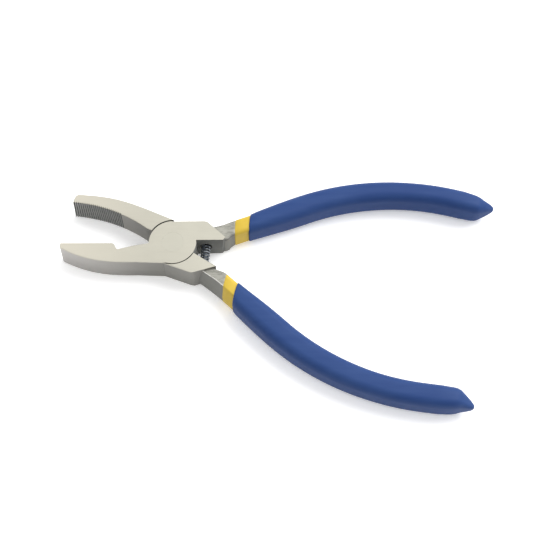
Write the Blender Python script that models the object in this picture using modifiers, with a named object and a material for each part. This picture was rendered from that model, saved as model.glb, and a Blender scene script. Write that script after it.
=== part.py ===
"""Glass breaking and grozing pliers: two lap-jointed levers, a rivet, a return spring, dipped grips.

Frame: metres, +Z up. The pliers lie flat on their underside, z = 0. The origin is on the pivot axis.
Each lever is drawn in its closed position: jaw at -X below the X axis, handle at +X above it.
The front lever stays there. The rear lever is a mirror image, turned about the pivot to stand open.
"""

import math
from collections import namedtuple

import bmesh
import bpy
from mathutils import Matrix, Vector

MM = 0.001

# Head
THICKNESS = 11.2 * MM
DISC_RADIUS = 8.5 * MM
RIM_GAP = 0.35 * MM
LAP_GAP = 0.3 * MM
FIT_GAP = 0.3 * MM
EDGE_CHAMFER = 0.3 * MM
OPEN_ANGLE = math.radians(22.6)

# Handle roots, as drawn closed
Root = namedtuple("Root", "outer_start outer_corner slope_end inner_corner inner_start_degrees")
FRONT_ROOT = Root((0.3 * MM, 8.5 * MM), (11.6 * MM, 8.65 * MM), (18.7 * MM, 1.9 * MM),
                  (18.75 * MM, 0.85 * MM), 5.7)
REAR_ROOT = Root((0.3 * MM, 8.65 * MM), (11.3 * MM, 8.55 * MM), (18.4 * MM, 2.9 * MM),
                 (18.0 * MM, 2.7 * MM), 6.8)

# Jaws
TOOTH_PITCH = 0.85 * MM
TOOTH_DEPTH = 0.3 * MM
JAW_BACK = (-2.4 * MM, -8.15 * MM)
FLAT_JAW_TIP = (-40.3 * MM, -0.4 * MM)
FLAT_JAW_TIP_HEIGHT = 1.9 * MM
FLAT_JAW_PAD_END_X = -21.6 * MM
FLAT_JAW_NECK_DEGREES = 183.0
CURVED_JAW_TIP_X = -40.4 * MM
CURVED_JAW_TIP_HEIGHT = 3.9 * MM
CURVED_JAW_TIP_LEAN = 0.6 * MM
CURVED_JAW_RADIUS = 53.0 * MM
CURVED_JAW_CROWN = (-24.5 * MM, -3.25 * MM)
CURVED_JAW_TEETH_END_X = -21.9 * MM
CURVED_JAW_NECK_DEGREES = 189.0

# Rivet
RIVET_HEAD_RADIUS = 3.85 * MM
RIVET_BODY_RADIUS = 2.6 * MM
RIVET_HEAD_DEPTH = 1.9 * MM
RIVET_RIM = 0.2 * MM
RIVET_GAP = 0.12 * MM
ROUND_STEPS = 48

# Handle centre line: straight shank, one arc, straight end
SHANK_ANGLE = math.radians(20.8)
END_ANGLE = math.radians(-15.0)
BEND_RADIUS = 90.0 * MM
BEND_APEX = (79.4 * MM, 22.1 * MM)
HANDLE_STEPS = 14

# Handle sections: half-width, half-height, corner radius
SHANK_SECTION = (2.75 * MM, 4.65 * MM, 1.1 * MM)
UNDERCOAT_SECTION = (2.95 * MM, 4.75 * MM, 1.4 * MM)
UNDERCOAT_WALL = 0.7 * MM
TANG_END_X = 106.5 * MM
GRIP_HALF_HEIGHT = 5.55 * MM
GRIP_MOUTH_HALF_HEIGHT = 5.35 * MM
GRIP_CORNER = 2.9 * MM
GRIP_MOUTH_CORNER = 2.0 * MM
GRIP_MOUTH_HALF_WIDTH = 3.6 * MM
GRIP_SWELL = 0.6 * MM
GRIP_SWELL_X = 27.0 * MM
GRIP_SWELL_LENGTH = 19.0 * MM
GRIP_SLIM = 0.45 * MM
GRIP_SLIM_X = 46.0 * MM
GRIP_SLIM_LENGTH = 40.0 * MM
GRIP_TAPER_X = 110.3 * MM
GRIP_TAPER = 6.7 * MM
GRIP_TIP_SIDEWAYS = 1.2 * MM
GRIP_TIP_DROP = 1.1 * MM
CORNER_STEPS = 4

# Vinyl dips: where each mouth crosses the centre line, how far it is tilted, and the handle's own size
Dips = namedtuple("Dips", "undercoat_x undercoat_tilt grip_x grip_tilt extra_length extra_width")
FRONT_DIPS = Dips(22.3 * MM, math.radians(-1.5), 27.5 * MM, math.radians(-4.5), 0.0, 0.0)
REAR_DIPS = Dips(22.9 * MM, math.radians(-9.6), 28.3 * MM, math.radians(-8.6), 2.4 * MM, 0.25 * MM)

# Spring
FRONT_SEAT_X = 12.1 * MM
REAR_SEAT_X = 12.6 * MM
SEAT_RADIUS = 2.5 * MM
SEAT_DEPTH = 3.2 * MM
SPRING_RADIUS = 1.65 * MM
WIRE_RADIUS = 0.4 * MM
SPRING_TURNS = 8
STEPS_A_TURN = 12
SPRING_BEND_REACH = 4.0 * MM

# Finishes: colour, roughness, metallic
STEEL = ((0.69, 0.67, 0.60), 0.38, 1.0)
DARK_STEEL = ((0.06, 0.065, 0.07), 0.45, 1.0)
YELLOW_VINYL = ((0.83, 0.60, 0.10), 0.5, 0.0)
BLUE_VINYL = ((0.045, 0.09, 0.30), 0.5, 0.0)

# One ring of a handle: its place on the centre line, its section, and how it is shifted or slanted
Station = namedtuple("Station", "x half_width half_height corner sideways rise tilt", defaults=(0.0, 0.0, None))


def clear_scene():
    for old in list(bpy.data.objects):
        bpy.data.objects.remove(old, do_unlink=True)


def new_collection(name):
    collection = bpy.data.collections.new(name)
    bpy.context.scene.collection.children.link(collection)
    return collection


def make_material(name, finish):
    colour, roughness, metallic = finish
    material = bpy.data.materials.new(name)
    material.use_nodes = True
    shader = material.node_tree.nodes["Principled BSDF"]
    shader.inputs["Base Color"].default_value = (*colour, 1.0)
    shader.inputs["Roughness"].default_value = roughness
    shader.inputs["Metallic"].default_value = metallic
    return material


# Plan geometry, in a lever's closed position

def place_front(x, y):
    return Vector((x, y))


def place_rear(x, y):
    return Matrix.Rotation(-OPEN_ANGLE, 2) @ Vector((x, -y))


def arc(radius, start_degrees, end_degrees, steps):
    points = []
    for step in range(steps + 1):
        angle = math.radians(start_degrees + (end_degrees - start_degrees) * step / steps)
        points.append((radius * math.cos(angle), radius * math.sin(angle)))
    return points


def bezier(start, start_handle, end_handle, end, steps):
    points = []
    corners = (start, start_handle, end_handle, end)
    for step in range(steps + 1):
        t = step / steps
        weights = ((1 - t) ** 3, 3 * t * (1 - t) ** 2, 3 * t * t * (1 - t), t ** 3)
        points.append(tuple(sum(w * c[axis] for w, c in zip(weights, corners)) for axis in (0, 1)))
    return points


def toothed(edge_y, start_x, end_x):
    """Zigzag along the edge y = edge_y(x): a crest at each end, valleys cut below the edge."""
    count = round((end_x - start_x) / TOOTH_PITCH)
    pitch = (end_x - start_x) / count
    points = []
    for tooth in range(count):
        crest_x = start_x + tooth * pitch
        valley_x = crest_x + pitch / 2
        points.append((crest_x, edge_y(crest_x)))
        points.append((valley_x, edge_y(valley_x) - TOOTH_DEPTH))
    points.append((end_x, edge_y(end_x)))
    return points


def flat_jaw():
    """Inner edge from the tip to the disc, and outer edge from the disc back to the tip."""
    tip_x, pad_y = FLAT_JAW_TIP
    inner = toothed(lambda x: pad_y, tip_x, FLAT_JAW_PAD_END_X)
    inner += [(-20.7 * MM, -1.05 * MM), (-20.1 * MM, -2.35 * MM), (-19.6 * MM, -2.85 * MM)]
    inner += [(-18.9 * MM, -2.6 * MM), (-14.0 * MM, -1.35 * MM)]
    outer = bezier((-13.0 * MM, -8.0 * MM), (-27.0 * MM, -8.35 * MM), (-33.5 * MM, -6.1 * MM),
                   (tip_x, pad_y - FLAT_JAW_TIP_HEIGHT), 10)
    return inner, outer


def curved_jaw():
    """The same for the jaw with the hollow face."""
    crown_x, crown_y = CURVED_JAW_CROWN

    def hollow(x):
        return crown_y + CURVED_JAW_RADIUS - math.sqrt(CURVED_JAW_RADIUS ** 2 - (x - crown_x) ** 2)

    inner = toothed(hollow, CURVED_JAW_TIP_X, CURVED_JAW_TEETH_END_X)
    for x in (-19.0 * MM, -15.0 * MM, -11.5 * MM):
        inner.append((x, hollow(x)))
    tip_y = hollow(CURVED_JAW_TIP_X) - CURVED_JAW_TIP_HEIGHT
    outer = bezier((-14.0 * MM, -8.75 * MM), (-26.0 * MM, -8.95 * MM), (-30.0 * MM, -7.85 * MM),
                   (CURVED_JAW_TIP_X + CURVED_JAW_TIP_LEAN, tip_y), 10)
    return inner, outer


def lever_outline(jaw, neck_degrees, root):
    """Jaw, pivot disc and handle root in one closed outline."""
    inner, outer = jaw
    outline = list(inner)
    outline += arc(DISC_RADIUS, neck_degrees, 94.0, 12)
    outline += [root.outer_start, root.outer_corner, root.slope_end, root.inner_corner]
    outline += arc(DISC_RADIUS, root.inner_start_degrees, -104.0, 14)
    outline += [JAW_BACK]
    outline += outer
    return outline


def handle_line(x):
    """Height and direction of a handle's centre line at x."""
    apex_x, apex_y = BEND_APEX
    bend_start = apex_x - BEND_RADIUS * math.sin(SHANK_ANGLE)
    bend_end = apex_x - BEND_RADIUS * math.sin(END_ANGLE)
    on_bend = min(max(x, bend_start), bend_end)
    angle = -math.asin((on_bend - apex_x) / BEND_RADIUS)
    y = apex_y - BEND_RADIUS * (1.0 - math.cos(angle))
    return y + (x - on_bend) * math.tan(angle), angle


def seat_face_y(root, x):
    """Height of a root's inner face above the X axis, where the spring sits."""
    end_x, end_y = root.inner_corner
    start_x, start_y = arc(DISC_RADIUS, root.inner_start_degrees, 0.0, 1)[0]
    return start_y + (end_y - start_y) * (x - start_x) / (end_x - start_x)


# Blender objects

def to_mesh(source, collection):
    """The evaluated source as a mesh object of the same name, its loose caps welded."""
    graph = bpy.context.evaluated_depsgraph_get()
    mesh = bpy.data.meshes.new_from_object(source.evaluated_get(graph))
    name = source.name
    world = source.matrix_world.copy()
    bpy.data.objects.remove(source, do_unlink=True)
    solid = bpy.data.objects.new(name, mesh)
    solid.matrix_world = world
    collection.objects.link(solid)
    cage = bmesh.new()
    cage.from_mesh(mesh)
    bmesh.ops.remove_doubles(cage, verts=cage.verts, dist=0.00001)
    bmesh.ops.recalc_face_normals(cage, faces=cage.faces)
    cage.to_mesh(mesh)
    cage.free()
    return solid


def as_cutter(solid, cutters):
    """Keep a solid that only shapes another one out of the model itself."""
    for owner in list(solid.users_collection):
        owner.objects.unlink(solid)
    cutters.objects.link(solid)
    solid.hide_render = True
    solid.display_type = "WIRE"
    return solid


def plate(name, outline, place, collection):
    """A flat outline with chamfered rims, as thick as the head."""
    data = bpy.data.curves.new(name, "CURVE")
    data.dimensions = "2D"
    data.fill_mode = "BOTH"
    data.extrude = THICKNESS / 2 - EDGE_CHAMFER
    data.bevel_depth = EDGE_CHAMFER
    data.bevel_resolution = 0
    data.offset = -EDGE_CHAMFER
    spline = data.splines.new("POLY")
    spline.points.add(len(outline) - 1)
    for point, (x, y) in zip(spline.points, outline):
        point.co = (*place(x, y), 0.0, 1.0)
    spline.use_cyclic_u = True
    source = bpy.data.objects.new(name, data)
    source.location.z = THICKNESS / 2
    collection.objects.link(source)
    bpy.context.view_layer.update()
    return to_mesh(source, collection)


def turned(name, profile, collection):
    """A profile of (radius, height) points, listed down its outer side, turned about the pivot."""
    mesh = bpy.data.meshes.new(name)
    corners = [(radius, 0.0, height) for radius, height in profile]
    mesh.from_pydata(corners, [(index, index + 1) for index in range(len(corners) - 1)], [])
    solid = bpy.data.objects.new(name, mesh)
    collection.objects.link(solid)
    screw = solid.modifiers.new("turn", "SCREW")
    screw.steps = ROUND_STEPS
    screw.render_steps = ROUND_STEPS
    screw.use_merge_vertices = True
    screw.merge_threshold = 0.00001
    bpy.context.view_layer.update()
    return to_mesh(solid, collection)


def section_ring(station):
    """A rounded rectangle of (across, up) points."""
    points = []
    for quarter, (right, up) in enumerate(((1, 1), (-1, 1), (-1, -1), (1, -1))):
        for step in range(CORNER_STEPS + 1):
            angle = math.pi / 2 * (quarter + step / CORNER_STEPS)
            across = right * (station.half_width - station.corner) + station.corner * math.cos(angle)
            height = up * (station.half_height - station.corner) + station.corner * math.sin(angle)
            points.append((across, height))
    return points


def loft(name, stations, place, collection):
    """A closed skin through rings of unlike section along a handle's centre line."""
    cage = bmesh.new()
    rings = []
    for station in stations:
        y, angle = handle_line(station.x)
        along = Vector((math.cos(angle), math.sin(angle)))
        sideways = Vector((-along.y, along.x))
        slant = 0.0 if station.tilt is None else math.tan(station.tilt - angle)
        ring = []
        for across, height in section_ring(station):
            centre = Vector((station.x, y)) + sideways * (station.sideways + across)
            corner = centre - along * across * slant
            ring.append(cage.verts.new((*place(*corner), THICKNESS / 2 + station.rise + height)))
        rings.append(ring)
    for ring, following in zip(rings, rings[1:]):
        for index in range(len(ring)):
            after = (index + 1) % len(ring)
            cage.faces.new((ring[index], ring[after], following[after], following[index]))
    cage.faces.new(rings[0])
    cage.faces.new(rings[-1])
    bmesh.ops.recalc_face_normals(cage, faces=cage.faces)
    mesh = bpy.data.meshes.new(name)
    cage.to_mesh(mesh)
    cage.free()
    solid = bpy.data.objects.new(name, mesh)
    collection.objects.link(solid)
    return solid


def boolean(target, operand, operation):
    modifier = target.modifiers.new(operand.name, "BOOLEAN")
    modifier.operation = operation
    modifier.solver = "EXACT"
    modifier.object = operand


def grown(section, amount):
    """A section with its wall moved outwards, or inwards by a negative amount."""
    half_width, half_height, corner = section
    return half_width + amount, half_height + amount, max(corner + amount, 0.5 * MM)


def wider(section, amount):
    half_width, half_height, corner = section
    return half_width + amount, half_height, corner


def even_steps(start, end, steps):
    return [start + (end - start) * step / steps for step in range(steps + 1)]


# Sub-parts

def cut_lap(lever, below, cutters):
    """Take away the half of the disc that the other lever's disc fills."""
    overshoot = 2.0 * MM
    depth = THICKNESS / 2 + LAP_GAP / 2 + overshoot
    middle = depth / 2 - overshoot if below else THICKNESS + overshoot - depth / 2
    bpy.ops.mesh.primitive_cylinder_add(vertices=ROUND_STEPS, radius=DISC_RADIUS + RIM_GAP, depth=depth,
                                        location=(0.0, 0.0, middle))
    lap = bpy.context.object
    lap.name = lever.name + "_lap"
    boolean(lever, as_cutter(lap, cutters), "DIFFERENCE")


def cut_seat(lever, place, root, seat_x, cutters):
    """Blind hole for one end of the spring, square to the lever's X axis."""
    overshoot = 3.0 * MM
    length = SEAT_DEPTH + overshoot
    centre = place(seat_x, seat_face_y(root, seat_x) + SEAT_DEPTH - length / 2)
    along = place(seat_x, 1.0) - place(seat_x, 0.0)
    turn = math.atan2(along.y, along.x) - math.pi / 2
    bpy.ops.mesh.primitive_cylinder_add(vertices=ROUND_STEPS // 2, radius=SEAT_RADIUS, depth=length,
                                        location=(*centre, THICKNESS / 2), rotation=(math.pi / 2, 0.0, turn))
    seat = bpy.context.object
    seat.name = lever.name + "_seat"
    boolean(lever, as_cutter(seat, cutters), "DIFFERENCE")


def rivet_profile(gap, overshoot):
    head = RIVET_HEAD_RADIUS + gap
    body = RIVET_BODY_RADIUS + gap
    return [(0.0, THICKNESS + overshoot), (head, THICKNESS + overshoot), (head, THICKNESS - RIVET_RIM),
            (body, THICKNESS - RIVET_HEAD_DEPTH), (body, RIVET_HEAD_DEPTH), (head, RIVET_RIM),
            (head, -overshoot), (0.0, -overshoot)]


def handle_core(name, place, dips, collection):
    """Shank up to the vinyl, then the thinner tang inside it."""
    width, height, corner = wider(SHANK_SECTION, dips.extra_width)
    tang = grown(wider(UNDERCOAT_SECTION, dips.extra_width), -UNDERCOAT_WALL - FIT_GAP)
    shoulder_x = dips.undercoat_x - FIT_GAP
    rows = [Station(11.0 * MM, 1.5 * MM, 0.70 * height, corner, 1.7 * MM),
            Station(13.5 * MM, 2.3 * MM, 0.86 * height, corner, 1.2 * MM),
            Station(17.0 * MM, width, 0.96 * height, corner, 0.4 * MM),
            Station(shoulder_x, width, height, corner, tilt=dips.undercoat_tilt),
            Station(shoulder_x, *tang, tilt=dips.undercoat_tilt)]
    tang_end = TANG_END_X + dips.extra_length
    for x in even_steps(shoulder_x + 4.0 * MM, tang_end, HANDLE_STEPS):
        rows.append(Station(x, *tang))
    return loft(name, rows, place, collection)


def make_lever(name, jaw, neck_degrees, root, place, laps_below, dips, seat_x, parts, cutters):
    lever = plate(name, lever_outline(jaw, neck_degrees, root), place, parts)
    cut_lap(lever, laps_below, cutters)
    core = handle_core(name + "_handle", place, dips, cutters)
    boolean(lever, as_cutter(core, cutters), "UNION")
    bore = turned(name + "_bore", rivet_profile(RIVET_GAP, 2.0 * MM), cutters)
    boolean(lever, as_cutter(bore, cutters), "DIFFERENCE")
    cut_seat(lever, place, root, seat_x, cutters)
    return lever


def make_undercoat(name, place, dips, parts):
    """First dip: a thin sock, closed at the handle's end and open at a slanted mouth."""
    section = wider(UNDERCOAT_SECTION, dips.extra_width)
    cavity = grown(section, -UNDERCOAT_WALL)
    cavity_end = TANG_END_X + dips.extra_length + FIT_GAP
    closed_end = cavity_end + UNDERCOAT_WALL
    inside = even_steps(dips.undercoat_x + 4.0 * MM, cavity_end, HANDLE_STEPS)
    outside = even_steps(dips.undercoat_x + 4.0 * MM, closed_end, HANDLE_STEPS)
    rows = [Station(x, *section) for x in reversed(outside)]
    rows.append(Station(dips.undercoat_x, *section, tilt=dips.undercoat_tilt))
    rows.append(Station(dips.undercoat_x, *cavity, tilt=dips.undercoat_tilt))
    rows += [Station(x, *cavity) for x in inside]
    return loft(name, rows, place, parts)


def grip_section(x, extra_width):
    """The grip swells over its first third and slims again towards the end."""
    swell = math.sin(math.pi / 2 * min(max((x - GRIP_SWELL_X) / GRIP_SWELL_LENGTH, 0.0), 1.0))
    slim = min(max((x - GRIP_SLIM_X) / GRIP_SLIM_LENGTH, 0.0), 1.0)
    half_width = GRIP_MOUTH_HALF_WIDTH + GRIP_SWELL * swell - GRIP_SLIM * slim + extra_width
    half_height = GRIP_MOUTH_HALF_HEIGHT + (GRIP_HALF_HEIGHT - GRIP_MOUTH_HALF_HEIGHT) * swell
    corner = GRIP_MOUTH_CORNER + (GRIP_CORNER - GRIP_MOUTH_CORNER) * swell
    return half_width, half_height, corner


def make_grip(name, place, dips, parts):
    """Second dip: a thick sock that runs out to a blunt point."""
    cavity = grown(wider(UNDERCOAT_SECTION, dips.extra_width), FIT_GAP)
    cavity_end = TANG_END_X + dips.extra_length + FIT_GAP + UNDERCOAT_WALL + FIT_GAP
    taper_x = GRIP_TAPER_X + dips.extra_length
    width, height, corner = grip_section(taper_x, dips.extra_width)
    rows = []
    for share, size in ((1.0, 0.16), (0.93, 0.29), (0.72, 0.47), (0.48, 0.66), (0.26, 0.87), (0.1, 0.97)):
        rows.append(Station(taper_x + GRIP_TAPER * share, width * size, height * size, corner * size,
                            GRIP_TIP_SIDEWAYS * share, -GRIP_TIP_DROP * share))
    for x in even_steps(taper_x, dips.grip_x + 4.0 * MM, HANDLE_STEPS):
        rows.append(Station(x, *grip_section(x, dips.extra_width)))
    mouth = grip_section(dips.grip_x, dips.extra_width)
    rows.append(Station(dips.grip_x, *mouth, tilt=dips.grip_tilt))
    rows.append(Station(dips.grip_x, *cavity, tilt=dips.grip_tilt))
    rows += [Station(x, *cavity) for x in even_steps(dips.grip_x + 4.0 * MM, cavity_end, HANDLE_STEPS)]
    return loft(name, rows, place, parts)


def make_spring(name, parts):
    """Coil whose axis bends from the front seat's line to the rear seat's line."""
    inset = SEAT_DEPTH - WIRE_RADIUS - FIT_GAP
    front_y = seat_face_y(FRONT_ROOT, FRONT_SEAT_X) + inset
    rear_y = seat_face_y(REAR_ROOT, REAR_SEAT_X) + inset
    axis = bezier(place_front(FRONT_SEAT_X, front_y), place_front(FRONT_SEAT_X, front_y - SPRING_BEND_REACH),
                  place_rear(REAR_SEAT_X, rear_y - SPRING_BEND_REACH), place_rear(REAR_SEAT_X, rear_y),
                  SPRING_TURNS * STEPS_A_TURN)
    last = len(axis) - 1
    data = bpy.data.curves.new(name, "CURVE")
    data.dimensions = "3D"
    data.bevel_depth = WIRE_RADIUS
    data.bevel_resolution = 2
    data.use_fill_caps = True
    spline = data.splines.new("POLY")
    spline.points.add(last)
    for index, point in enumerate(spline.points):
        along = Vector(axis[min(index + 1, last)]) - Vector(axis[max(index - 1, 0)])
        across = Vector((-along.y, along.x)).normalized()
        angle = math.tau * index / STEPS_A_TURN
        plan = Vector(axis[index]) + across * SPRING_RADIUS * math.cos(angle)
        point.co = (*plan, THICKNESS / 2 + SPRING_RADIUS * math.sin(angle), 1.0)
    spring = bpy.data.objects.new(name, data)
    parts.objects.link(spring)
    return spring


def finish(solid, material):
    solid.data.materials.clear()
    solid.data.materials.append(material)
    if solid.type == "MESH":
        solid.data.shade_smooth()
        solid.data.set_sharp_from_angle(angle=math.radians(35.0))


def main():
    clear_scene()
    parts = new_collection("glass_pliers")
    cutters = new_collection("cutters")
    steel = make_material("forged_steel", STEEL)
    dark_steel = make_material("spring_steel", DARK_STEEL)
    yellow = make_material("yellow_vinyl", YELLOW_VINYL)
    blue = make_material("blue_vinyl", BLUE_VINYL)

    front = make_lever("front_lever", flat_jaw(), FLAT_JAW_NECK_DEGREES, FRONT_ROOT, place_front, True,
                       FRONT_DIPS, FRONT_SEAT_X, parts, cutters)
    rear = make_lever("rear_lever", curved_jaw(), CURVED_JAW_NECK_DEGREES, REAR_ROOT, place_rear, False,
                      REAR_DIPS, REAR_SEAT_X, parts, cutters)
    rivet = turned("pivot_rivet", rivet_profile(0.0, 0.0), parts)
    spring = make_spring("return_spring", parts)
    front_undercoat = make_undercoat("front_undercoat", place_front, FRONT_DIPS, parts)
    rear_undercoat = make_undercoat("rear_undercoat", place_rear, REAR_DIPS, parts)
    front_grip = make_grip("front_grip", place_front, FRONT_DIPS, parts)
    rear_grip = make_grip("rear_grip", place_rear, REAR_DIPS, parts)

    for solid, material in ((front, steel), (rear, steel), (rivet, steel), (spring, dark_steel),
                            (front_undercoat, yellow), (rear_undercoat, yellow),
                            (front_grip, blue), (rear_grip, blue)):
        finish(solid, material)

    pivot = bpy.data.objects.new("rear_lever_pivot", None)
    parts.objects.link(pivot)
    for solid in (rear, rear_undercoat, rear_grip):
        solid.parent = pivot


main()
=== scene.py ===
"""Glass breaking and grozing pliers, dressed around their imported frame.

The pliers lie on their side, pivot axis on Z. Each lever is modelled closed, jaw at -X and handle at +X,
and the rear one is then mirrored and swung open. Lengths in the classes are in millimetres.
"""

import logging
import math
from contextlib import contextmanager
from dataclasses import dataclass, replace
from enum import Enum
from typing import Any, Callable, Iterator, Sequence

import bmesh
import bpy
from mathutils import Euler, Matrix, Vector


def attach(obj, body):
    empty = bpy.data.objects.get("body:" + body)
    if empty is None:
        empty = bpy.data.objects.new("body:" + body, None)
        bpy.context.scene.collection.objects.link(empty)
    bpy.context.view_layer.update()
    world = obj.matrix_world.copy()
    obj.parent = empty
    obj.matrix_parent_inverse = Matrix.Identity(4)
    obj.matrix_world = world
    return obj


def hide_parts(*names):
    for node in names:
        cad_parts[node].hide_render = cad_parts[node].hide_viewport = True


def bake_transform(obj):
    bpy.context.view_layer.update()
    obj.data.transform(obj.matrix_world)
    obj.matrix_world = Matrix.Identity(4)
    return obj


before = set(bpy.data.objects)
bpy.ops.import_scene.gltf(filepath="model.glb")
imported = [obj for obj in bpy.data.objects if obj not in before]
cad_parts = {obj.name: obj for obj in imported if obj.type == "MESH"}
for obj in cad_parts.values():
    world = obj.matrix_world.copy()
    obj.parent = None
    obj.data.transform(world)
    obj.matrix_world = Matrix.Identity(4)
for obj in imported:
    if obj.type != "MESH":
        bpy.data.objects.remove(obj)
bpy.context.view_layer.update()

log = logging.getLogger("pliers")

MM = 0.001
SAME = 0.01 * MM
MERGED = 0.002 * MM
Piece = bpy.types.Object
Point = tuple[float, float]
Colour = tuple[float, float, float]


class Side(Enum):
    """Which lever a piece belongs to, by the name of its body in the frame."""

    FRONT = "front"
    REAR = "rear"


class Cut(Enum):
    """How one solid changes another."""

    ADD = "UNION"
    TAKE = "DIFFERENCE"


# Shop tools


def pick(piece: Piece) -> None:
    """Makes the piece the only selected one, and the active one."""
    bpy.ops.object.select_all(action="DESELECT")
    piece.select_set(True)
    bpy.context.view_layer.objects.active = piece


def take_all() -> None:
    """Selects a whole edit mesh."""
    bpy.ops.mesh.select_all(action="SELECT")


@contextmanager
def editing(piece: Piece, mode: str = "VERT") -> Iterator[bmesh.types.BMesh]:
    """Opens a piece in edit mode with nothing selected.

    Args:
        piece: the mesh object.
        mode: what is selected, VERT, EDGE or FACE.

    Yields:
        The edit mesh.
    """
    pick(piece)
    bpy.ops.object.mode_set(mode="EDIT")
    bpy.ops.mesh.select_mode(type=mode)
    bpy.ops.mesh.select_all(action="DESELECT")
    yield bmesh.from_edit_mesh(piece.data)
    bpy.ops.object.mode_set(mode="OBJECT")


def choose(piece: Piece, kind: str, test: Callable[[Any], bool]) -> int:
    """Selects the parts of an edit mesh that pass a test.

    Args:
        piece: the object in edit mode.
        kind: verts, edges or faces.
        test: takes one vertex, edge or face.

    Returns:
        How many were selected.
    """
    bpy.ops.mesh.select_all(action="DESELECT")
    cage = bmesh.from_edit_mesh(piece.data)
    found = [part for part in getattr(cage, kind) if test(part)]
    for part in found:
        part.select = True
    cage.select_flush_mode()
    bmesh.update_edit_mesh(piece.data)
    return len(found)


def finish_with(piece: Piece, kind: str, **settings: Any) -> None:
    """Adds one modifier with these settings and applies it."""
    pick(piece)
    modifier = piece.modifiers.new(kind.lower(), kind)
    for name, value in settings.items():
        setattr(modifier, name, value)
    bpy.ops.object.modifier_apply(modifier=modifier.name)


def combine(piece: Piece, tool: Piece, cut: Cut) -> None:
    """Adds the tool's solid to the piece or takes it away, and removes the tool."""
    finish_with(piece, "BOOLEAN", operation=cut.value, solver="EXACT", object=tool, material_mode="TRANSFER")
    bpy.data.objects.remove(tool, do_unlink=True)


def point_outwards(piece: Piece) -> None:
    """Merges doubles and turns every face outwards."""
    with editing(piece):
        take_all()
        bpy.ops.mesh.remove_doubles(threshold=MERGED)
        bpy.ops.mesh.normals_make_consistent(inside=False)


def bend_along(piece: Piece, name: str, places: Sequence[Point]) -> None:
    """Bends straight stock, modelled along X, onto a line through these places in plan."""
    data = bpy.data.curves.new(name, "CURVE")
    data.dimensions = "3D"
    data.twist_mode = "Z_UP"
    spline = data.splines.new("POLY")
    spline.points.add(len(places) - 1)
    for point, (x, y) in zip(spline.points, places):
        point.co = (x * MM, y * MM, 0.0, 1.0)
    guide = bpy.data.objects.new(name, data)
    bpy.context.collection.objects.link(guide)
    finish_with(piece, "CURVE", object=guide, deform_axis="POS_X")
    bpy.data.objects.remove(guide, do_unlink=True)


def paint(piece: Piece, materials: Sequence[bpy.types.Material], smooth: float) -> None:
    """Gives the piece its materials and smooths it wherever it turns by less than this many degrees."""
    piece.data.materials.clear()
    for material in materials:
        piece.data.materials.append(material)
    pick(piece)
    bpy.ops.object.shade_smooth_by_angle(angle=math.radians(smooth))


def level_shading(piece: Piece) -> None:
    """Keeps the shading of large flats level up to their rounded rims."""
    finish_with(piece, "WEIGHTED_NORMAL", mode="FACE_AREA", weight=80, keep_sharp=True)


def settle(piece: Piece) -> None:
    """Puts the object's place, turn and scale into its mesh."""
    pick(piece)
    bpy.ops.object.transform_apply(location=True, rotation=True, scale=True)


def rod(name: str, radius: float, low: float, high: float, at: Point = (0.0, 0.0), sides: int = 96) -> Piece:
    """An upright round tool for boring.

    Args:
        name: the object's name.
        radius: its radius in millimetres.
        low: height of its lower end.
        high: height of its upper end.
        at: its axis in plan.
        sides: how many sides approximate the circle.

    Returns:
        The tool.
    """
    bpy.ops.mesh.primitive_cylinder_add(vertices=sides, radius=radius * MM, depth=(high - low) * MM,
                                        location=(at[0] * MM, at[1] * MM, (low + high) / 2 * MM))
    tool = bpy.context.object
    tool.name = name
    settle(tool)
    return tool


# Plan geometry, in millimetres, in a lever's closed position


def spread(start: float, end: float, steps: int) -> list[float]:
    """Evenly spaced values from start to end, both included."""
    return [start + (end - start) * step / steps for step in range(steps + 1)]


def arc(radius: float, start: float, end: float, steps: int, centre: Point = (0.0, 0.0)) -> list[Point]:
    """Points along an arc between two angles in degrees, both ends included."""
    points = []
    for degrees in spread(start, end, steps):
        angle = math.radians(degrees)
        points.append((centre[0] + radius * math.cos(angle), centre[1] + radius * math.sin(angle)))
    return points


def bezier(corners: Sequence[Point], steps: int) -> list[Point]:
    """Points along a cubic curve given by its start, two handles and end."""
    points = []
    for step in range(steps + 1):
        t = step / steps
        weights = ((1 - t) ** 3, 3 * t * (1 - t) ** 2, 3 * t * t * (1 - t), t ** 3)
        points.append(tuple(sum(w * c[axis] for w, c in zip(weights, corners)) for axis in (0, 1)))
    return points


def rounded(before: Point, corner: Point, after: Point, reach: float, steps: int = 4) -> list[Point]:
    """A corner softened by a small curve that starts and ends at this reach from it."""
    c = Vector(corner)
    back, ahead = Vector(before) - c, Vector(after) - c
    start = c + back.normalized() * min(reach, 0.4 * back.length)
    end = c + ahead.normalized() * min(reach, 0.4 * ahead.length)
    return bezier((tuple(start), tuple(start.lerp(c, 0.6)), tuple(end.lerp(c, 0.6)), tuple(end)), steps)


@dataclass(frozen=True)
class Head:
    """What the whole tool is laid out by: its thickness, its lapped disc and how far it stands open."""

    thickness: float = 11.2
    disc_radius: float = 8.5
    open_angle: float = math.radians(22.6)

    @property
    def middle(self) -> float:
        """Height of the plane in which both handles lie."""
        return self.thickness / 2


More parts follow.
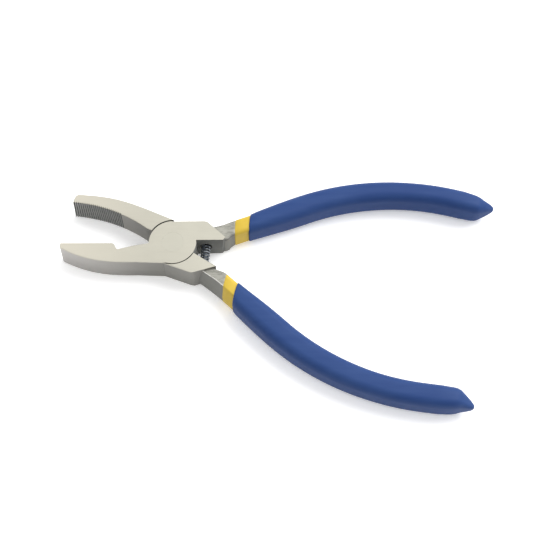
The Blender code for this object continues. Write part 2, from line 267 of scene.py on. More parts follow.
@dataclass(frozen=True)
class HandleLine:
    """The centre line both handles follow: a straight shank, one arc and a straight end."""

    shank_angle: float = math.radians(20.8)
    end_angle: float = math.radians(-15.0)
    bend_radius: float = 90.0
    apex: Point = (79.4, 22.1)
    reach: float = 140.0

    def arc_ends(self) -> Point:
        """Where along X the arc starts and ends."""
        return (self.apex[0] - self.bend_radius * math.sin(self.shank_angle),
                self.apex[0] - self.bend_radius * math.sin(self.end_angle))

    def at(self, x: float) -> tuple[float, float]:
        """Height and direction of the line at x."""
        start, end = self.arc_ends()
        on_bend = min(max(x, start), end)
        angle = -math.asin((on_bend - self.apex[0]) / self.bend_radius)
        y = self.apex[1] - self.bend_radius * (1.0 - math.cos(angle))
        return y + (x - on_bend) * math.tan(angle), angle

    def run(self, x: float) -> float:
        """Distance along the line from its start above x = 0 to x."""
        start, end = self.arc_ends()
        along = min(x, start) / math.cos(self.shank_angle)
        if x > start:
            along += self.bend_radius * (self.shank_angle - self.at(min(x, end))[1])
        if x > end:
            along += (x - end) / math.cos(self.end_angle)
        return along

    def bend(self, piece: Piece) -> None:
        """Bends straight stock, modelled along X, onto the line."""
        stops = [0.0, *spread(*self.arc_ends(), 48), self.reach]
        bend_along(piece, "handle_line", [(x, self.at(x)[0]) for x in stops])


HEAD = Head()
LINE = HandleLine()


def swing(piece: Piece, side: Side) -> None:
    """Leaves a front piece, or mirrors a rear one and swings it open."""
    if side is Side.REAR:
        piece.scale.y = -1.0
        piece.rotation_euler.z = -HEAD.open_angle
        settle(piece)


def unswing(place: Vector, side: Side) -> Point:
    """The plan place, in millimetres, that a point of a finished piece had when closed."""
    if side is Side.FRONT:
        return place.x / MM, place.y / MM
    turned = Vector(place)
    turned.rotate(Euler((0.0, 0.0, HEAD.open_angle)))
    return turned.x / MM, -turned.y / MM


@dataclass(frozen=True)
class Ring:
    """One section of straight stock: where it is and how it differs from the stock's own section."""

    x: float
    half_width: float
    half_height: float
    sideways: float = 0.0
    rise: float = 0.0
    tilt: float | None = None


def is_lengthwise(edge: bmesh.types.BMEdge) -> bool:
    """True on an edge that runs along X."""
    return abs(edge.verts[0].co.x - edge.verts[1].co.x) > 1 * MM


@dataclass(frozen=True)
class Facet:
    """A long flat that takes one outer edge off a bar: the upper one, or the lower one."""

    upper: bool
    inset: float = 1.8
    drop: float = 5.2
    ridge: float = 0.24
    steps: int = 1

    def take(self, bar: Piece, half_width: float, half_height: float) -> None:
        """Cuts the flat on a straight bar in edit mode and eases its ridge."""
        up = 1 if self.upper else -1
        y = (half_width - self.inset) * MM
        z = (HEAD.middle + up * half_height) * MM
        facing = Vector((0, self.drop, up * self.inset)).normalized()
        bpy.ops.mesh.select_mode(type="VERT")
        take_all()
        bpy.ops.mesh.bisect(plane_co=(0, y, z), plane_no=facing, use_fill=True, clear_outer=True)
        bpy.ops.mesh.select_mode(type="EDGE")
        choose(bar, "edges", lambda e: is_lengthwise(e) and all(
            abs(v.co.z - z) < SAME and abs(v.co.y - y) < SAME for v in e.verts))
        bpy.ops.mesh.bevel(offset=self.ridge * MM, segments=self.steps, affect="EDGES")


def straight_stock(name: str, rings: Sequence[Ring], corner: float, segments: int = 6,
                   facet: Facet | None = None) -> Piece:
    """A rounded bar along the handle line, sized ring by ring.

    A cube is stretched to the bar's length, its long edges are bevelled, it is cut at each ring, each ring
    is scaled and shifted, and the bar is bent onto the line.

    Args:
        name: the object's name.
        rings: its sections, from the pivot outwards.
        corner: radius of its long edges before any ring is scaled.
        segments: how many steps round each long edge.
        facet: the flat taken off one outer edge, if any.

    Returns:
        The bar.
    """
    runs = [LINE.run(ring.x) * MM for ring in rings]
    widest = max(ring.half_width for ring in rings)
    tallest = max(ring.half_height for ring in rings)
    bpy.ops.mesh.primitive_cube_add(size=1.0, location=((runs[0] + runs[-1]) / 2, 0.0, HEAD.middle * MM),
                                    scale=(runs[-1] - runs[0], 2 * widest * MM, 2 * tallest * MM))
    bar = bpy.context.object
    bar.name = name
    settle(bar)
    with editing(bar, "EDGE"):
        choose(bar, "edges", is_lengthwise)
        bpy.ops.mesh.bevel(offset=corner * MM, segments=segments, affect="EDGES", profile=0.5)
        if facet:
            facet.take(bar, widest, tallest)
        for run in runs[1:-1]:
            take_all()
            bpy.ops.mesh.bisect(plane_co=(run, 0, 0), plane_no=(1, 0, 0))
        bpy.ops.mesh.select_mode(type="VERT")
        for ring, run in zip(rings, runs):
            choose(bar, "verts", lambda v: abs(v.co.x - run) < MERGED)
            scale = (1, ring.half_width / widest, ring.half_height / tallest)
            bpy.ops.transform.resize(value=scale, center_override=(run, 0, HEAD.middle * MM))
            bpy.ops.transform.translate(value=(0, ring.sideways * MM, ring.rise * MM))
        cage = bmesh.from_edit_mesh(bar.data)
        for ring, run in zip(rings, runs):
            if ring.tilt is None:
                continue
            slant = math.tan(ring.tilt - LINE.at(ring.x)[1])
            for vertex in cage.verts:
                if abs(vertex.co.x - run) < MERGED:
                    vertex.co.x -= vertex.co.y * slant
        bmesh.update_edit_mesh(bar.data)
    LINE.bend(bar)
    return bar


# Shader wiring


class Wire:
    """One output of a shader node, which takes part in arithmetic."""

    def __init__(self, graph: "Graph", socket: bpy.types.NodeSocket) -> None:
        """Keeps the socket and the graph it belongs to."""
        self.graph = graph
        self.socket = socket

    def _math(self, operation: str, first: Any, second: Any) -> "Wire":
        """One Math node on two values."""
        return self.graph.node("ShaderNodeMath", {"operation": operation}, {0: first, 1: second})

    def __add__(self, other: Any) -> "Wire":
        """self + other."""
        return self._math("ADD", self, other)

    def __radd__(self, other: Any) -> "Wire":
        """other + self."""
        return self._math("ADD", other, self)

    def __sub__(self, other: Any) -> "Wire":
        """self - other."""
        return self._math("SUBTRACT", self, other)

    def __rsub__(self, other: Any) -> "Wire":
        """other - self."""
        return self._math("SUBTRACT", other, self)

    def __mul__(self, other: Any) -> "Wire":
        """self * other."""
        return self._math("MULTIPLY", self, other)

    def __rmul__(self, other: Any) -> "Wire":
        """other * self."""
        return self._math("MULTIPLY", other, self)


class Graph:
    """The node tree of one material or world, with its shader."""

    def __init__(self, owner: bpy.types.Material | bpy.types.World, shader: str = "Principled BSDF") -> None:
        """Takes over the node tree of a new material or world, with its bare shader."""
        owner.use_nodes = True
        self.owner = owner
        self.tree = owner.node_tree
        self.shader = self.tree.nodes[shader]

    def node(self, kind: str, settings: dict[str, Any], inputs: dict[Any, Any], output: Any = 0) -> Wire:
        """Adds a node.

        Args:
            kind: the node's type.
            settings: its properties, set first.
            inputs: values or wires for its sockets, by name or number.
            output: name or number of the output wanted.

        Returns:
            That output.
        """
        made = self.tree.nodes.new(kind)
        for name, value in settings.items():
            setattr(made, name, value)
        for key, value in inputs.items():
            self.feed(made.inputs[key], value)
        return Wire(self, made.outputs[output])

    def feed(self, socket: bpy.types.NodeSocket, value: Any) -> None:
        """Links a wire to a socket, or sets a plain value on it."""
        if isinstance(value, Wire):
            self.tree.links.new(value.socket, socket)
        elif isinstance(value, tuple) and len(value) == 3 and socket.type == "RGBA":
            socket.default_value = (*value, 1.0)
        else:
            socket.default_value = value

    def place(self, scale: tuple[float, float, float] = (1.0, 1.0, 1.0), turn: float = 0.0) -> Wire:
        """Object coordinates, turned in plan and stretched."""
        coordinates = self.node("ShaderNodeTexCoord", {}, {}, "Object")
        return self.node("ShaderNodeMapping", {},
                         {"Vector": coordinates, "Rotation": (0.0, 0.0, turn), "Scale": scale})

    def noise(self, where: Wire, scale: float, detail: float = 3.0, rough: float = 0.5) -> Wire:
        """Noise from 0 to 1 around a middle of about a half."""
        return self.node("ShaderNodeTexNoise", {},
                         {"Vector": where, "Scale": scale, "Detail": detail, "Roughness": rough}, "Fac")

    def ramp(self, value: Wire, low: float, high: float) -> Wire:
        """0 below low, 1 above high, smooth between."""
        return self.node("ShaderNodeMapRange", {"interpolation_type": "SMOOTHSTEP"},
                         {"Value": value, "From Min": low, "From Max": high})

    def mix(self, share: Any, first: Any, second: Any) -> Wire:
        """A colour between two colours; the Mix node keeps its colour sockets at 6 and 7."""
        return self.node("ShaderNodeMix", {"data_type": "RGBA"}, {0: share, 6: first, 7: second}, 2)

    def bump(self, height: Wire, depth: float, strength: float) -> None:
        """Relief of this depth in metres on the shader's normal."""
        relief = self.node("ShaderNodeBump", {},
                           {"Height": height, "Distance": depth, "Strength": strength}, "Normal")
        self.feed(self.shader.inputs["Normal"], relief)

    def surface(self, **sockets: Any) -> bpy.types.Material:
        """Feeds the shader's sockets, by name with underscores for spaces, and returns the material."""
        for name, value in sockets.items():
            self.feed(self.shader.inputs[name.replace("_", " ").title().replace("Ior", "IOR")], value)
        return self.owner


# Finishes


@dataclass(frozen=True)
class GroundSteel:
    """Steel linished on a belt: fine grain one way, faint clouds, a satin sheen.

    Towards the jaw tip the colour turns to a lighter tip colour, between two X places in metres. On the
    walls it is a painted reflection of the bright floor beside the nose; on the flats the tip is simply
    lighter.
    """

    name: str
    light: Colour
    dark: Colour
    grain_turn: float = 0.0
    roughness: float = 0.42
    metal: float = 0.55
    grain_depth: float = 0.012
    stretch: tuple[float, float, float] = (160.0, 3600.0, 3600.0)
    gloss: float = 0.5
    tip_polish_and_reflection: Colour | None = None
    tip_span: Point = (-0.004, -0.044)

    def material(self) -> bpy.types.Material:
        """Builds the finish."""
        graph = Graph(bpy.data.materials.new(self.name))
        grain = graph.noise(graph.place(self.stretch, self.grain_turn), 1.0, 4.0, 0.6)
        clouds = graph.noise(graph.place(), 70.0, 3.0)
        shade = graph.ramp(clouds * 0.65 + grain * 0.35, 0.3, 0.7)
        rough = self.roughness + (grain - 0.5) * 0.16 + (clouds - 0.5) * 0.1
        graph.bump(grain, self.grain_depth * MM, 0.5)
        colour = graph.mix(shade, self.dark, self.light)
        # Painted reflection: the colour turns lighter towards the jaw tip, standing in for the bright floor
        # mirrored in the nose's walls.
        if self.tip_polish_and_reflection:
            coordinates = graph.node("ShaderNodeTexCoord", {}, {}, "Object")
            along = graph.node("ShaderNodeSeparateXYZ", {}, {0: coordinates}, "X")
            lighter_share = graph.ramp(along + (clouds - 0.5) * 0.012, *self.tip_span)
            colour = graph.mix(lighter_share, colour, self.tip_polish_and_reflection)
        return graph.surface(base_color=colour, roughness=rough, metallic=self.metal,
                             specular_ior_level=self.gloss)


@dataclass(frozen=True)
class ForgedSteel:
    """Bare forging: drawn lengthwise, scaly and pitted, with pale rubbed patches."""

    name: str
    rubbed: Colour
    scale: Colour
    pit: Colour
    grain_turn: float = 0.0
    roughness: float = 0.55
    metal: float = 0.45

    def material(self) -> bpy.types.Material:
        """Builds the finish."""
        graph = Graph(bpy.data.materials.new(self.name))
        along = graph.place((260.0, 1100.0, 700.0), self.grain_turn)
        patches = graph.noise(along, 1.0, 4.0, 0.6)
        pits = graph.noise(graph.place((900.0, 2100.0, 1500.0), self.grain_turn), 1.0, 3.0, 0.55)
        lighter_share = graph.ramp(patches, 0.36, 0.58)
        deep = graph.ramp(pits, 0.36, 0.27)
        colour = graph.mix(deep, graph.mix(lighter_share, self.scale, self.rubbed), self.pit)
        graph.bump(patches * 0.6 + pits * 0.4, 0.1 * MM, 0.6)
        return graph.surface(base_color=colour, roughness=self.roughness + (pits - 0.5) * 0.3,
                             metallic=self.metal)


@dataclass(frozen=True)
class DarkWire:
    """Oil-blackened spring wire with drawn lines and rubbed lights."""

    name: str
    body: Colour
    rubbed: Colour

    def material(self) -> bpy.types.Material:
        """Builds the finish."""
        graph = Graph(bpy.data.materials.new(self.name))
        where = graph.place()
        rub = graph.ramp(graph.noise(where, 700.0, 3.0), 0.45, 0.7)
        fine = graph.noise(where, 4200.0, 2.0)
        graph.bump(fine, 0.01 * MM, 0.4)
        return graph.surface(base_color=graph.mix(rub, self.body, self.rubbed),
                             roughness=0.34 + (fine - 0.5) * 0.2, metallic=0.85)


@dataclass(frozen=True)
class DippedVinyl:
    """Soft dipped vinyl: even colour, faint orange peel and small flow marks."""

    name: str
    body: Colour
    pale: Colour
    roughness: float = 0.5
    peel: float = 0.03
    gloss: float = 0.12

    def material(self) -> bpy.types.Material:
        """Builds the finish."""
        graph = Graph(bpy.data.materials.new(self.name))
        where = graph.place()
        clouds = graph.noise(where, 55.0, 2.0)
        peel = graph.noise(where, 900.0, 2.0)
        flow = graph.noise(graph.place((60.0, 500.0, 500.0)), 1.0, 2.0)
        share = graph.ramp(clouds * 0.6 + flow * 0.4, 0.25, 0.75)
        rough = self.roughness + (clouds - 0.5) * 0.12 + (peel - 0.5) * 0.08
        graph.bump(peel * 0.75 + flow * 0.25, self.peel * MM, 0.5)
        return graph.surface(base_color=graph.mix(share, self.body, self.pale), roughness=rough,
                             specular_ior_level=self.gloss)


# Jaws


@dataclass
class Jaw:
    """What the two jaws share: a toothed bite, and an outline from the disc round the nose and back."""

    tooth_pitch: float = 0.76
    tooth_depth: float = 0.5
    tooth: tuple[Point, ...] = ((0.26, 0.03), (0.42, 0.85), (0.5, 1.0), (0.58, 0.85), (0.74, 0.03))
    teeth_end: float = -21.9
    gullet_share: float = 0.3
    tip_x: float = -40.3
    tip_lean: float = 0.0
    tip_height: float = 1.9
    spine_line: tuple[Point, ...] = ((-13.0, -8.0), (-27.0, -8.35), (-33.5, -6.1))
    neck_degrees: float = 183.0
    back: Point = (-2.9, -8.34)
    bottom_reach: float = 0.45
    bottom_length: float = 8.0

    def face(self, x: float) -> float:
        """Height of the biting face at x, at the crests of its teeth."""
        raise NotImplementedError

    def bite(self) -> list[Point]:
        """Inner edge, from the tip to the disc."""
        raise NotImplementedError

    def nose(self, before: Point) -> list[Point]:
        """The end of the jaw, from the spine to just short of the bite."""
        raise NotImplementedError

    def tip(self) -> Point:
        """Where the nose meets the bite."""
        return self.tip_x, self.face(self.tip_x)

    def low(self) -> Point:
        """Where the spine meets the nose."""
        return self.tip_x + self.tip_lean, self.face(self.tip_x) - self.tip_height

    def spine(self) -> list[Point]:
        """Outer edge, from the disc round the nose to the tip."""
        edge = bezier((*self.spine_line, self.low()), 34)
        return edge[:-1] + self.nose(edge[-2])

    def toothed(self) -> list[Point]:
        """A row of small V teeth with slightly flattened crests, cut below the face from the tip on.

        Each tooth's points are given as shares of the pitch and of the depth.
        """
        count = round((self.teeth_end - self.tip_x) / self.tooth_pitch)
        pitch = (self.teeth_end - self.tip_x) / count
        points = [self.tip()]
        for tooth in range(count):
            for share, depth in self.tooth:
                x = self.tip_x + tooth * pitch + share * pitch
                points.append((x, self.face(x) - depth * self.tooth_depth))
        points.append((self.teeth_end, self.face(self.teeth_end)))
        return points

    def in_teeth(self, x: float, y: float) -> bool:
        """True for a place in the row of teeth."""
        slack = 0.02
        return x < self.teeth_end and y > self.face(x) - self.tooth_depth - slack

    def in_gullet(self, x: float, y: float) -> bool:
        """True for a place well down between two teeth."""
        return y < self.face(x) - self.tooth_depth * self.gullet_share

    def lean(self, x: float) -> float:
        """How much farther out than its top the jaw's underside is at x, fading away from the tip."""
        return self.bottom_reach * max(0.0, 1.0 - (x - self.tip_x) / self.bottom_length)


@dataclass
class FlatJaw(Jaw):
    """The straight jaw: a fine toothed pad, a step behind it and a sloping neck."""

    tooth_pitch: float = 0.72
    tooth_depth: float = 0.22
    teeth_end: float = -21.6
    face_y: float = -0.4
    nose_round: float = 0.5
    step: tuple[Point, ...] = (
        (-20.9, -0.75), (-20.1, -2.35), (-19.55, -2.86), (-18.9, -2.62), (-14.0, -1.35))
    step_round: float = 0.26

    def face(self, x: float) -> float:
        """Height of the biting face, the same at every x."""
        return self.face_y

    def bite(self) -> list[Point]:
        """Inner edge, from the tip to the disc."""
        edge = self.toothed()
        line = [edge[-1], *self.step]
        for before, corner, after in zip(line, line[1:], line[2:]):
            edge += rounded(before, corner, after, self.step_round, 3)
        return edge + [line[-1]]

    def nose(self, before: Point) -> list[Point]:
        """A square end with its outer corner eased."""
        return rounded(before, self.low(), self.tip(), self.nose_round, 3)


@dataclass
class CurvedJaw(Jaw):
    """The hollow jaw: its face is an arc, toothed from the tip to half way."""

    tip_lean: float = 0.6
    tip_height: float = 3.9
    spine_line: tuple[Point, ...] = ((-14.0, -8.75), (-26.0, -8.95), (-30.0, -7.85))
    neck_degrees: float = 189.0
    neck_x: float = -10.0
    bottom_reach: float = 0.7
    radius: float = 53.0
    crown: Point = (-24.5, -3.25)
    nose_bulge: tuple[Point, Point] = ((-1.1, 0.45), (-0.6, -1.5))

    def face(self, x: float) -> float:
        """Height of the hollow face at x."""
        return self.crown[1] + self.radius - math.sqrt(self.radius ** 2 - (x - self.crown[0]) ** 2)

    def bite(self) -> list[Point]:
        """Inner edge, from the tip to the disc."""
        return self.toothed() + [(x, self.face(x)) for x in spread(self.teeth_end, self.neck_x, 12)[1:-1]]

    def nose(self, before: Point) -> list[Point]:
        """A full round end."""
        low, tip = self.low(), self.tip()
        leave, arrive = self.nose_bulge
        return bezier((low, (low[0] + leave[0], low[1] + leave[1]),
                       (tip[0] + arrive[0], tip[1] + arrive[1]), tip), 12)[:-1]


@dataclass
class Root:
    """The block between the disc and the shank, as drawn closed.

    The recess that the other lever's disc turns in is cut a little off the pivot, so that its gap is widest
    where the joint shows.
    """

    shoulder: tuple[Point, ...]
    outer_corner: Point
    slope_end: Point
    inner_corner: Point
    inner_degrees: float
    seat_x: float
    lap_radius: float
    lap_centre: Point
    shank_inner: tuple[float, ...]
    shank_swell: float
    outer_round: float = 0.9
    slope_round: float = 0.25
    inner_round: float = 0.4
    draft: Point = (-0.6, 0.25)

    def belly(self) -> Point:
        """Where the inner face leaves the disc."""
        return arc(HEAD.disc_radius, self.inner_degrees, 0.0, 1)[0]

    def outline(self) -> list[Point]:
        """Its edge, round from the disc's back to the disc's belly."""
        points = list(self.shoulder)
        points += rounded(self.shoulder[-1], self.outer_corner, self.slope_end, self.outer_round, 6)
        if self.slope_end == self.inner_corner:
            return points + [self.slope_end]
        points += rounded(self.outer_corner, self.slope_end, self.inner_corner, self.slope_round)
        return points + rounded(self.slope_end, self.inner_corner, self.belly(), self.inner_round)

    def seat_y(self) -> float:
        """Height of the inner face where the spring sits."""
        start, end = self.belly(), self.inner_corner
        return start[1] + (end[1] - start[1]) * (self.seat_x - start[0]) / (end[0] - start[0])

    def past_slope(self, x: float, y: float) -> bool:
        """True on the handle's side of the sloped end, which runs from the outer to the inner side."""
        start, end = self.outer_corner, self.slope_end
        return (end[0] - start[0]) * (y - start[1]) - (end[1] - start[1]) * (x - start[0]) > 0.02


@dataclass(frozen=True)
class Dips:
    """Where the two vinyl coats begin on one handle, and that handle's own size."""

    undercoat_x: float
    undercoat_tilt: float
    grip_x: float
    grip_tilt: float
    extra_length: float = 0.0
    extra_width: float = 0.0


# Levers


class Zone(Enum):
    """The surfaces of a lever that take their own finish; several carry painted shade or a painted highlight
    by where they face or lie.
    """

    FLAT = "flat"
    WALL = "wall"
    EASED = "eased"
    SKIN = "skin"
    DRAWN = "drawn"
    RIDGE = "ridge"
    THROAT = "throat"
    CREST = "crest"
    GULLET = "gullet"


@dataclass
class Shank:
    """The drawn-down bar behind the root, and the tang that the coats cover.

    It starts inside the root as a heel, widens into a neck, shows its forged skin up to the undercoat and
    runs on as the tang.
    """

    side: Side
    root: Root
    dips: Dips
    heel: tuple[Ring, ...] = (Ring(10.5, 1.2, 3.0, 1.7), Ring(12.5, 2.2, 4.2, 0.9))
    neck_x: tuple[float, ...] = (14.5, 16.0, 17.3, 18.2)
    neck_outer: tuple[float, ...] = (3.35, 3.15, 3.0, 2.95)
    skin_x: float = 18.9
    skin_half_width: float = 2.85
    neck_half_height: float = 4.95
    mouth_half_height: float = 4.6
    sink: float = -0.6
    tang: Point = (2.72, 4.5)
    tang_end: float = 106.9
    corner: float = 1.15

    def build(self) -> Piece:
        """Models it from the heel outwards."""
        rings = [*self.heel, *self.neck(), *self.skin(), *self.tail()]
        facet = Facet(self.side is Side.REAR)
        return straight_stock(self.side.value + "_shank", rings, self.corner, 5, facet)

    def neck(self) -> list[Ring]:
        """Sections inside the root's end, which reach unequally far to its inner and outer side."""
        rings = []
        for x, inner, outer in zip(self.neck_x, self.root.shank_inner, self.neck_outer):
            outer += self.dips.extra_width
            rings.append(Ring(x, (inner + outer) / 2, self.neck_half_height, (outer - inner) / 2, self.sink))
        return rings

    def skin(self) -> list[Ring]:
        """Sections up to the undercoat, turning little by little into the tilt of its edge."""
        rings = []
        outer = self.skin_half_width + self.dips.extra_width
        for share in spread(0.0, 1.0, 8):
            left = 1.0 - share
            x = self.skin_x + (self.dips.undercoat_x - 0.5 - self.skin_x) * share
            inner = outer + self.root.shank_swell * left ** 2
            tall = self.neck_half_height * left + self.mouth_half_height * share
            tilt = LINE.at(x)[1] * left + self.dips.undercoat_tilt * share
            rings.append(Ring(x, (inner + outer) / 2, tall, (outer - inner) / 2, self.sink * left, tilt))
        return rings

    def tail(self) -> list[Ring]:
        """The step down under the undercoat's edge, and the plain tang."""
        mouth, tilt = self.dips.undercoat_x, self.dips.undercoat_tilt
        wide, tall = self.tang[0] + self.dips.extra_width, self.tang[1]
        visible = self.skin_half_width + self.dips.extra_width
        rings = [Ring(mouth - 0.1, visible, self.mouth_half_height, tilt=tilt),
                 Ring(mouth + 0.15, wide, tall, tilt=tilt)]
        end = self.tang_end + self.dips.extra_length
        return rings + [Ring(x, wide, tall) for x in spread(mouth + 3.0, end, 20)]


@dataclass
class Lever:
    """One forged lever: jaw, half-lap disc, root and shank in a single piece of steel."""

    side: Side
    jaw: Jaw
    root: Root
    dips: Dips
    steel: dict[Zone, GroundSteel | ForgedSteel]
    lap_gap: float = 0.3
    edge_round: float = 0.28
    bore_radius: float = 3.87
    body_radius: float = 2.72
    head_depth: float = 1.9
    seat_radius: float = 2.25
    seat_depth: float = 3.2
    overshoot: float = 1.0

    def build(self) -> Piece:
        """Models the lever and lays it in its place."""
        lever = self.blank()
        self.lap(lever)
        combine(lever, Shank(self.side, self.root, self.dips).build(), Cut.ADD)
        self.bore(lever)
        self.seat(lever)
        swing(lever, self.side)
        point_outwards(lever)
        return lever

    def outline(self) -> list[Point]:
        """Its whole edge in plan, closed."""
        radius = HEAD.disc_radius
        points = self.jaw.bite()
        points += arc(radius, self.jaw.neck_degrees, 94.0, 28)
        points += self.root.outline()
        points += arc(radius, self.root.inner_degrees, -104.0, 34)
        return points + [self.jaw.back] + self.jaw.spine()

    def blank(self) -> Piece:
        """The outline filled, raised to the head's thickness, its rims eased but for the teeth."""
        outline = self.outline()
        bpy.ops.mesh.primitive_circle_add(vertices=len(outline), radius=10 * MM, fill_type="NOTHING")
        blank = bpy.context.object
        blank.name = self.side.value + "_lever_body"
        for vertex, (x, y) in zip(blank.data.vertices, outline):
            vertex.co = (x * MM, y * MM, 0.0)
        rise = {"value": (0, 0, HEAD.thickness * MM)}
        with editing(blank):
            take_all()
            bpy.ops.mesh.remove_doubles(threshold=SAME)
            take_all()
            bpy.ops.mesh.edge_face_add()
            bpy.ops.mesh.extrude_region_move(TRANSFORM_OT_translate=rise)
            take_all()
            bpy.ops.mesh.normals_make_consistent(inside=False)
            bpy.ops.mesh.select_mode(type="VERT")
            self.shape_underside(blank)
            bpy.ops.mesh.select_mode(type="EDGE")
            choose(blank, "edges", self.is_rim)
            bpy.ops.mesh.bevel(offset=self.edge_round * MM, segments=2, affect="EDGES", profile=0.5)
        return blank

    def shape_underside(self, blank: Piece) -> None:
        """Leans the nose out and draws the root's inner corner in, towards the underside."""
        for vertex in bmesh.from_edit_mesh(blank.data).verts:
            if vertex.co.z < SAME:
                vertex.co.x -= self.jaw.lean(vertex.co.x / MM) * MM
        corner = Vector(self.root.inner_corner) * MM
        reach = 1.5 * MM
        choose(blank, "verts", lambda v: v.co.z < SAME and (v.co.xy - corner).length < reach)
        draft = self.root.draft
        bpy.ops.transform.translate(value=(draft[0] * MM, draft[1] * MM, 0))

    def is_rim(self, edge: bmesh.types.BMEdge) -> bool:
        """True on the edges of the two flats, away from the disc, the teeth and the ground slope."""
        first, second = (vertex.co for vertex in edge.verts)
        if abs(first.z - second.z) > SAME:
            return False
        x, y = (first + second).xy / 2 / MM
        on_disc = math.hypot(x, y) < HEAD.disc_radius + 0.2
        on_slope = x > self.root.outer_corner[0] and self.root.past_slope(x + 0.05, y + 0.05)
        at_end = x > self.root.inner_corner[0] - 0.5
        return not (on_disc or on_slope or at_end or self.jaw.in_teeth(x, y))

    def lap(self, lever: Piece) -> None:
        """Clears the half of the disc that the other lever's disc turns in."""
        low, high = -2.0, HEAD.middle + self.lap_gap / 2
        if self.side is Side.REAR:
            low, high = HEAD.middle - self.lap_gap / 2, HEAD.thickness + self.overshoot
        tool = rod("lap", self.root.lap_radius, low, high, self.root.lap_centre, 192)
        combine(lever, tool, Cut.TAKE)

    def bore(self, lever: Piece) -> None:
        """Drills for the rivet and sinks its head from the lever's outer side."""
        below, above = -self.overshoot, HEAD.thickness + self.overshoot
        combine(lever, rod("bore", self.body_radius, below, above), Cut.TAKE)
        low, high = below, self.head_depth
        if self.side is Side.FRONT:
            low, high = HEAD.thickness - self.head_depth, above
        combine(lever, rod("sink", self.bore_radius, low, high), Cut.TAKE)

    def seat(self, lever: Piece) -> None:
        """Mills the round blind seat that holds one end of the spring."""
        length = self.seat_depth + 3.0
        middle = self.root.seat_y() + self.seat_depth - length / 2
        bpy.ops.mesh.primitive_cylinder_add(
            vertices=64, radius=self.seat_radius * MM, depth=length * MM, rotation=(math.pi / 2, 0, 0),
            location=(self.root.seat_x * MM, middle * MM, HEAD.middle * MM))
        tool = bpy.context.object
        settle(tool)
        combine(lever, tool, Cut.TAKE)

    def dress(self, lever: Piece) -> None:
        """Gives each face the finish of its place."""
        turn = -LINE.shank_angle if self.side is Side.FRONT else LINE.shank_angle + HEAD.open_angle
        zones = list(Zone)
        finishes = [self.steel[zone] for zone in zones]
        for index, zone in enumerate(zones):
            if zone in (Zone.SKIN, Zone.DRAWN):
                finishes[index] = replace(finishes[index], grain_turn=turn)
        paint(lever, [finish.material() for finish in finishes], 38)
        for face in lever.data.polygons:
            face.material_index = zones.index(self.zone(face))
        level_shading(lever)

    def zone(self, face: bpy.types.MeshPolygon) -> Zone:
        """Tells what part of the lever a face belongs to."""
        x, y = unswing(face.center, self.side)
        up = abs(face.normal.z)
        level = up > 0.98
        outermost = min(face.center.z, HEAD.thickness * MM - face.center.z) < SAME
        on_shank = x > 18.8 or x > self.root.outer_corner[0] - 2.0 and self.root.past_slope(x, y)
        if on_shank and not (level and outermost):
            # The rear shank's slanted ridge faces get a pale painted highlight.
            if self.side is Side.REAR and y > LINE.at(x)[0] and 0.74 < up < 0.9:
                return Zone.RIDGE
            # Shank faces that face up take the forged skin; those that face sideways take a darker finish,
            # as painted shade.
            return Zone.SKIN if up > 0.6 else Zone.DRAWN
        if level:
            return Zone.FLAT
        # Painted shade beside the disc, in the seam behind the jaw and on the root's inner face.
        if up < 0.4 and self.in_throat(x, y):
            return Zone.THROAT
        # Gullets between teeth get a darker finish than the crests: painted shade.
        if up < 0.1 and self.jaw.in_teeth(x, y):
            return Zone.GULLET if self.jaw.in_gullet(x, y) else Zone.CREST
        # Eased rims take a lighter finish, partly edge wear and partly painted highlight; the other walls a
        # darker one, as painted shade.
        return Zone.EASED if up > 0.15 else Zone.WALL

    def in_throat(self, x: float, y: float) -> bool:
        """True beside the disc, at the seam behind the jaw and on the root's inner face."""
        by_disc = x > -9.0 and abs(y) < 7.4 and math.hypot(x, y) < HEAD.disc_radius + 0.6
        at_seam = abs(x) < 0.6 and y > HEAD.disc_radius
        return by_disc or at_seam or y < 4.0 < x


# Coats


@dataclass
class Coat:
    """What both dips share: a closed sleeve of vinyl along the handle, hollow where the tang runs."""

    side: Side
    dips: Dips
    finish: DippedVinyl
    smooth: float = 40.0
    cavity_end: float = 107.1
    cavity_lead: float = 6.0

    def hollow_out(self, coat: Piece, start: float, section: Point, corner: float) -> None:
        """Takes the tang's space out of the coat and lays the coat in its place.

        Args:
            coat: the solid coat, along the handle line.
            start: where the coat begins.
            section: half-width and half-height of the space.
            corner: radius of its long edges.
        """
        end = self.cavity_end + self.dips.extra_length
        rings = [Ring(x, *section) for x in spread(start - self.cavity_lead, end, 26)]
        cavity = straight_stock("cavity", rings, corner, facet=Facet(self.side is Side.REAR))
        combine(coat, cavity, Cut.TAKE)
        swing(coat, self.side)
        point_outwards(coat)

    def dress(self, coat: Piece) -> None:
        """Paints the coat and smooths it."""
        paint(coat, [self.finish.material()], self.smooth)


@dataclass
class Undercoat(Coat):
    """First dip: a thin sleeve of vinyl over the tang, closed at the handle's end."""

    half_width: float = 3.0
    half_height: float = 4.8
    corner: float = 1.6
    wall: float = 0.26
    lip: float = 0.14
    end: float = 107.6

    def build(self) -> Piece:
        """Models the coat and lays it in its place."""
        wide, tall = self.half_width + self.dips.extra_width, self.half_height
        start, tilt = self.dips.undercoat_x, self.dips.undercoat_tilt
        rings = [Ring(start + self.lip * back, wide - self.lip * less, tall - self.lip * less, tilt=tilt)
                 for back, less in ((0.0, 1.0), (0.4, 0.4), (1.4, 0.0))]
        rings += [Ring(x, wide, tall) for x in spread(start + 3.0, self.end + self.dips.extra_length, 26)]
        coat = straight_stock(self.side.value + "_undercoat_skin", rings, self.corner,
                              facet=Facet(self.side is Side.REAR, ridge=0.45, steps=4))
        self.hollow_out(coat, start, (wide - self.wall, tall - self.wall), self.corner - 0.2)
        return coat


